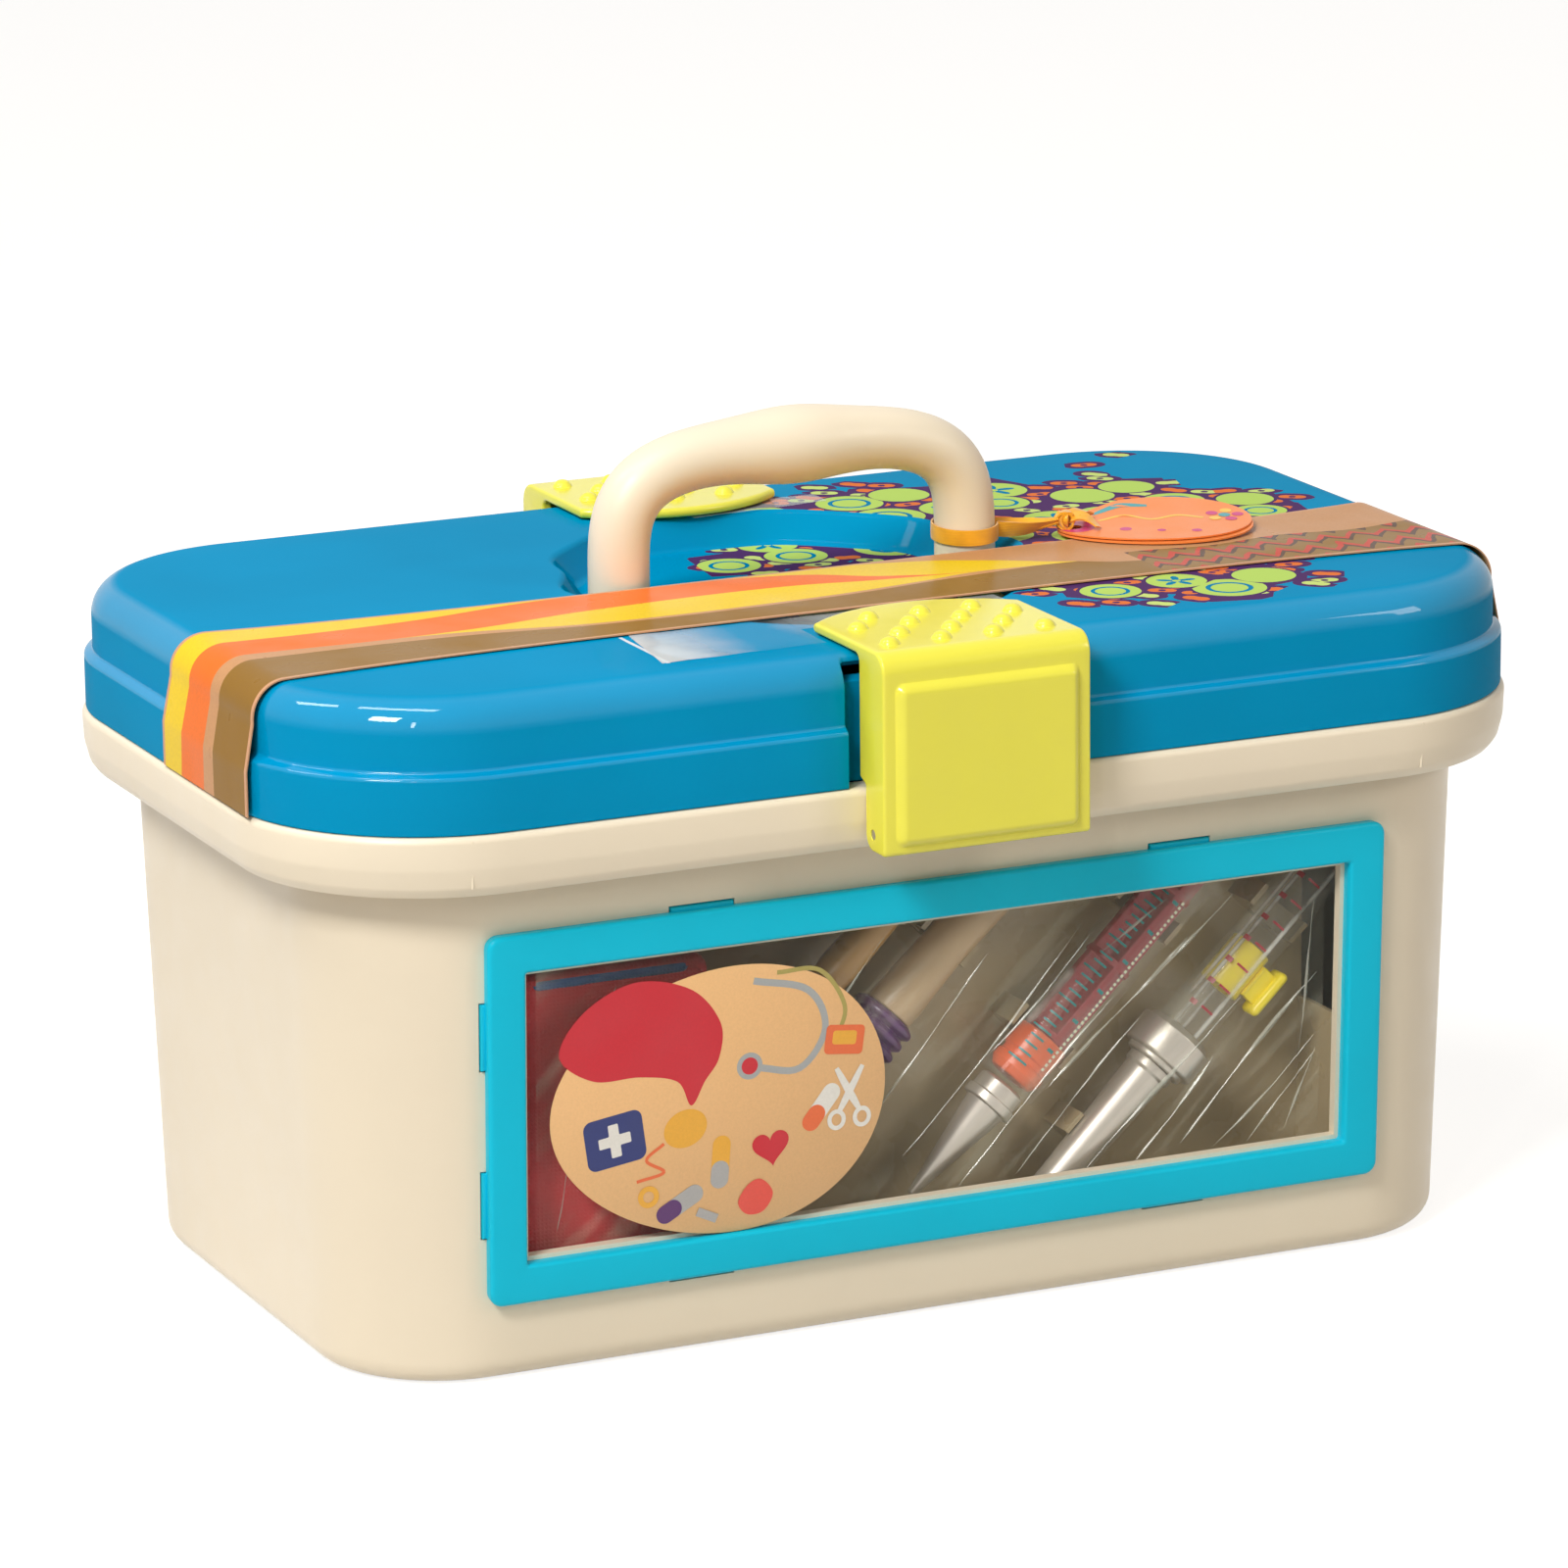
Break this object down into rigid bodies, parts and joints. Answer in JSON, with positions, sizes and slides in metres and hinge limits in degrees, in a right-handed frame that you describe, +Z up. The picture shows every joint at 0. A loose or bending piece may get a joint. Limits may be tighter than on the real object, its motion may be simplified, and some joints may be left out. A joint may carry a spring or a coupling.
{
  "type": "toy doctor case",
  "caption": "Moulded toy case with a lift-off lid, swinging side latches, a fixed carrying handle and a clear window showing toy instruments.",
  "frame": {"origin": "centre of the flat underside that the case stands on", "axes": "+X along the case's length, +Y from the window side to the rear, +Z up"},
  "size_m": [0.33, 0.2172, 0.2076],
  "materials": {
    "cream_plastic": "satin moulded plastic",
    "blue_plastic": "high gloss moulded plastic",
    "turquoise_plastic": "satin moulded plastic",
    "lime_plastic": "satin moulded plastic",
    "clear_plastic": "clear glossy plastic",
    "label_paper": "glossy printed label",
    "steel": "bright drawn wire",
    "silver_plastic": "vacuum metallised plastic",
    "orange_plastic": "glossy",
    "maroon_plastic": "glossy",
    "brown_plastic": "glossy",
    "yellow_plastic": "glossy",
    "purple_plastic": "glossy",
    "tan_plastic": "satin",
    "cuff_fabric": "woven nylon",
    "band_paper": "printed coated paper",
    "ribbon_satin": "satin ribbon",
    "tag_card": "printed card"
  },
  "bodies": {
    "tub": {"base_shell": "cream_plastic", "tub_rim": "cream_plastic", "window_frame": "turquoise_plastic", "window_pane": "clear_plastic", "window_label": "label_paper", "front_latch_pin": "steel", "rear_latch_pin": "steel", "display_tray": "clear_plastic", "syringe_barrel": "clear_plastic", "syringe_nozzle": "silver_plastic", "thermometer_rod": "silver_plastic", "thermometer_collar": "silver_plastic", "thermometer_tube": "clear_plastic", "thermometer_cap": "brown_plastic", "otoscope_head": "purple_plastic", "otoscope_handle": "tan_plastic", "mirror_head": "yellow_plastic", "mirror_handle": "tan_plastic", "folded_cuff": "cuff_fabric"},
    "lid": {"lid_shell": "blue_plastic", "handle": "cream_plastic", "handle_screws": "steel", "belly_band": "band_paper", "tag_ribbon": "ribbon_satin", "hang_tag_upper": "tag_card", "hang_tag_lower": "tag_card"},
    "front_latch": {"front_latch": "lime_plastic"},
    "rear_latch": {"rear_latch": "lime_plastic"},
    "plunger": {"syringe_piston": "orange_plastic", "syringe_plunger": "maroon_plastic"},
    "marker": {"thermometer_marker": "yellow_plastic"}
  },
  "joints": [
    {"name": "lid_lift", "type": "slide", "parent": "tub", "child": "lid", "axis": [0, 0, 1], "range_m": [0, 0.028]},
    {"name": "front_latch_hinge", "type": "hinge", "parent": "tub", "child": "front_latch", "pos_m": [0, -0.1015, 0.127], "axis": [1, 0, 0], "range_deg": [0, 92]},
    {"name": "rear_latch_hinge", "type": "hinge", "parent": "tub", "child": "rear_latch", "pos_m": [0, 0.1015, 0.127], "axis": [-1, 0, 0], "range_deg": [0, 92]},
    {"name": "plunger_slide", "type": "slide", "parent": "tub", "child": "plunger", "axis": [0.7193, 0, 0.6947], "range_m": [0, 0.04]},
    {"name": "marker_slide", "type": "slide", "parent": "tub", "child": "marker", "axis": [0.7193, 0, 0.6947], "range_m": [-0.004, 0.026]}
  ],
  "couplings": [
    {"joint": "front_latch_hinge", "follows": "lid_lift", "rad_per_m": 57.34},
    {"joint": "rear_latch_hinge", "follows": "lid_lift", "rad_per_m": 57.34}
  ]
}
